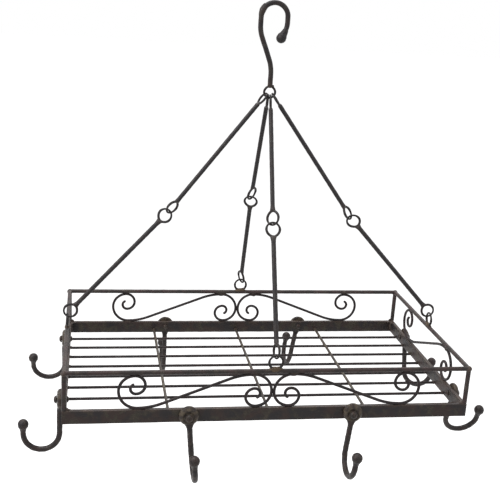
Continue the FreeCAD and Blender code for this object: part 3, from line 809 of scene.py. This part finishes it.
# ---------------------------------------------------------------- pan hooks
# Eight J hooks forged from 8 mm rod: one end upset and hammered into a thick round eye, hollow
# round the rivet and bevelled to its rim, the other into a ball.  Each turns on its rivet.
PAN_ROD = 8.0
PAN_DISC, PAN_THICK = 30.0, 8.4           # the eye
PAN_DISC_RISE = 1.5                       # its rim's centre, above the rivet
PAN_PLAY = 0.2                            # air between the eye and its bar
PAN_OFFSET = 4.4                          # shank's centre line from the bar
PAN_NECK_TOP, PAN_NECK_FOOT = 8.0, 19.0   # down from the rivet
PAN_NECK_WIDTH, PAN_NECK_HALF = 19.0, 2.6
PAN_BEND, PAN_TIP = 26.5, 15.0
PAN_BALL, PAN_SWELL = 16.16, 11.0
PAN_WAVE, PAN_DENT, PAN_PROUD = 8.0, 0.3, 1.4
EYE_DENTS, EYE_DENT_SIZE, EYE_DENT_DEPTH = 30, 4.0, 0.5
# lean about the rivet in degrees, and shank from the rivet's centre to the bend
PAN_SHAPES = {"front_left": (5.5, 57.0), "front_right": (-5.5, 59.5), "back_left": (0.0, 71.0),
              "back_right": (-8.0, 60.5), "left_front": (0.0, 55.0), "left_back": (13.0, 55.0),
              "right_front": (18.0, 54.0), "right_back": (-13.0, 62.0)}
# section of the eye from the bore out along its back and in again along its front: distance
# from the rivet's axis, and height over the face that lies on the bar
EYE_SECTION = np.array([(2.6, 0.3), (3.0, 0.0), (8.0, 0.0), (13.6, 0.0), (14.6, 0.6), (15.0, 1.9),
                        (15.0, 4.0), (14.5, 5.6), (13.2, 6.9), (11.6, 7.9), (10.2, 8.3), (9.2, 8.2),
                        (8.2, 7.7), (7.2, 7.2), (6.2, 7.1), (5.3, 7.5), (4.6, 8.0), (3.6, 8.2),
                        (2.9, 8.1), (2.6, 7.7), (2.6, 4.0)])
# forged mild steel, waxed: black with close brown clouds, and olive brown on the rubbed eyes
pan_iron = blackened_iron("forge_blackened_pan_hook", "#272324", "#342A28", "#33302B", "#524642",
                          "#5B5144", rough=0.45, cloud=11.0, grain=1.2)


def hammered(points, centres, size, depth):
    """Depth of overlapping round hammer dents: the deepest of depth (1 - (d / size)^2)."""
    distance = np.linalg.norm(points[..., None, :] - centres, axis=-1)
    return depth * np.clip(1 - (distance / size) ** 2, 0, None).max(-1)


def turned_eye(pin, out, down, number):
    """Eye: its section turned about the rivet's axis, and stretched beyond the hollow to a rim
    whose centre is raised, so that the rim is R(a) = -rise cos a + sqrt(r^2 - rise^2 sin^2 a),
    less an uneven 0.2 to 4.2 percent, as a hand-hammered disc is."""
    run, _ = paced(np.concatenate([EYE_SECTION, EYE_SECTION[:1]]), 0.7)
    reach, height = run[:-1].T
    a = np.linspace(0, 2 * pi, 72, endpoint=False)[:, None]
    rim = (-PAN_DISC_RISE * np.cos(a)
           + np.sqrt((PAN_DISC / 2) ** 2 - (PAN_DISC_RISE * np.sin(a)) ** 2))
    rim = rim * (0.978 + 0.012 * np.sin(2 * a + number) + 0.008 * np.sin(3 * a + 2 * number))
    grown = reach + np.clip((reach - 8) / (PAN_DISC / 2 - 8), 0, 1) * (rim - PAN_DISC / 2)
    aside = np.cross(down, out)
    across = grown[..., None] * (np.cos(a) * down + np.sin(a) * aside)[:, None]
    rng = np.random.default_rng(400 + number)
    spots = (rng.uniform(-1, 1, (EYE_DENTS, 1)) * down
             + rng.uniform(-1, 1, (EYE_DENTS, 1)) * aside) * 15
    dent = (hammered(across, spots, EYE_DENT_SIZE, EYE_DENT_DEPTH)
            * np.clip(height / 4, 0, 1) * np.clip(reach / 4 - 1, 0, 1))
    pale = 0.15 + 0.85 * ripple(across, 9.0, 440 + number)
    return pin + across + out * (PAN_PLAY + height - dent)[..., None], True, pale


sides = {"front": -Y, "back": Y, "left": -X, "right": X}
pins = {joint["child"]: np.array(joint["pos_m"]) / MM for joint in frame["joints"]
        if joint["child"].startswith("pan_hook_")}
for number, (body, pin) in enumerate(sorted(pins.items())):
    name = body.replace("pan_hook_", "")
    out = sides[name.split("_")[0]]
    lean, shank = PAN_SHAPES[name]
    down = turned(-Z, Y if out[1] else X, -lean if out[1] else lean)
    aside = np.cross(down, out)
    shells = [turned_eye(pin, out, down, number)]
    # neck, shank, bend and ball as one round drawn out of the eye
    run = trail(pin + out * PAN_OFFSET, down, out, [shank - 0.5, (PAN_BEND, 90.0), (PAN_BEND, 90.0),
                                                    PAN_TIP + PAN_BALL / 2])
    line, pace = paced(run, 1.0, 0.5)
    keep = pace > PAN_NECK_TOP
    line, pace = line[keep], pace[keep]
    neck = np.clip((pace - PAN_NECK_TOP) / (PAN_NECK_FOOT - PAN_NECK_TOP), 0, 1)
    ease = neck * neck * (3 - 2 * neck)
    line = line - out * ((PAN_OFFSET - PAN_PLAY - PAN_THICK / 2) * (1 - ease))[:, None]
    half = swollen_tip(pace[-1] - PAN_BALL / 2 - pace, PAN_ROD, PAN_BALL, PAN_SWELL)
    wide = half + (PAN_NECK_WIDTH / 2 - half) * (1 - neck) ** 1.6
    thick = half + (PAN_NECK_HALF - half) * (1 - ease)
    proud = PAN_PROUD * np.clip((pace[-1] - PAN_BALL - pace) / 8, 0, 1)[:, None]
    grid = worked(carry(line, aside, oval(wide, thick, 24)), line, PAN_WAVE, PAN_DENT,
                  420 + number, proud)
    shells.append((grid, False, 0.0))
    piece(body + "_forging", shells, pan_iron, body, "hook_iron", body)


# ---------------------------------------------------------------- rivets
# A soft iron rivet through each eye and its bar: a low round head outside, cleaned up with
# the hammer, and a rougher head closed over inside.
BAR_THICK = 6.0
HEAD_RADIUS, HEAD_HEIGHT = 6.0, 4.5
NUB_RADIUS, NUB_HEIGHT = 4.95, 3.3
RIVET_SHANK = 2.5
# soft iron peened cold: brown-black, a little glossier where the hammer closed it
rivet_iron = blackened_iron("peened_rivet_iron", "#2B2725", "#3B2E29", "#36322D", "#5E5349",
                            IRON_WELD_AND_TOP_LIGHT, rough=0.42, cloud=6.0, grain=0.9)


def turned_part(base, ahead, stations, seed, depth=0.25):
    """Round part: radius by distance along its axis, through the given stations."""
    along, radius = np.array(stations, float).T
    line = base + ahead * along[:, None]
    grid = carry(line, np.roll(ahead, 1), oval(radius, radius, 24))
    return worked(grid, line, 3.0, depth, seed), False, 0.0


shells = []
for number, (body, pin) in enumerate(sorted(pins.items())):
    out = sides[body.replace("pan_hook_", "").split("_")[0]]
    a = np.linspace(0, pi / 2, 8)
    head = [(PAN_THICK + PAN_PLAY + 0.1 + HEAD_HEIGHT * sin(t) ** 0.9,
             HEAD_RADIUS * cos(t) ** 0.8 + 0.03) for t in a]
    nub = [(-BAR_THICK - NUB_HEIGHT * sin(t), NUB_RADIUS * cos(t) + 0.03) for t in a[::-1]]
    shank = [(-BAR_THICK - 0.01, RIVET_SHANK), (PAN_THICK + PAN_PLAY + 0.09, RIVET_SHANK)]
    shells.append(turned_part(pin, out, nub + shank + head, 450 + number))
piece("hook_rivets_peened", shells, rivet_iron, "tray", "rivet_iron", "hook_rivets")
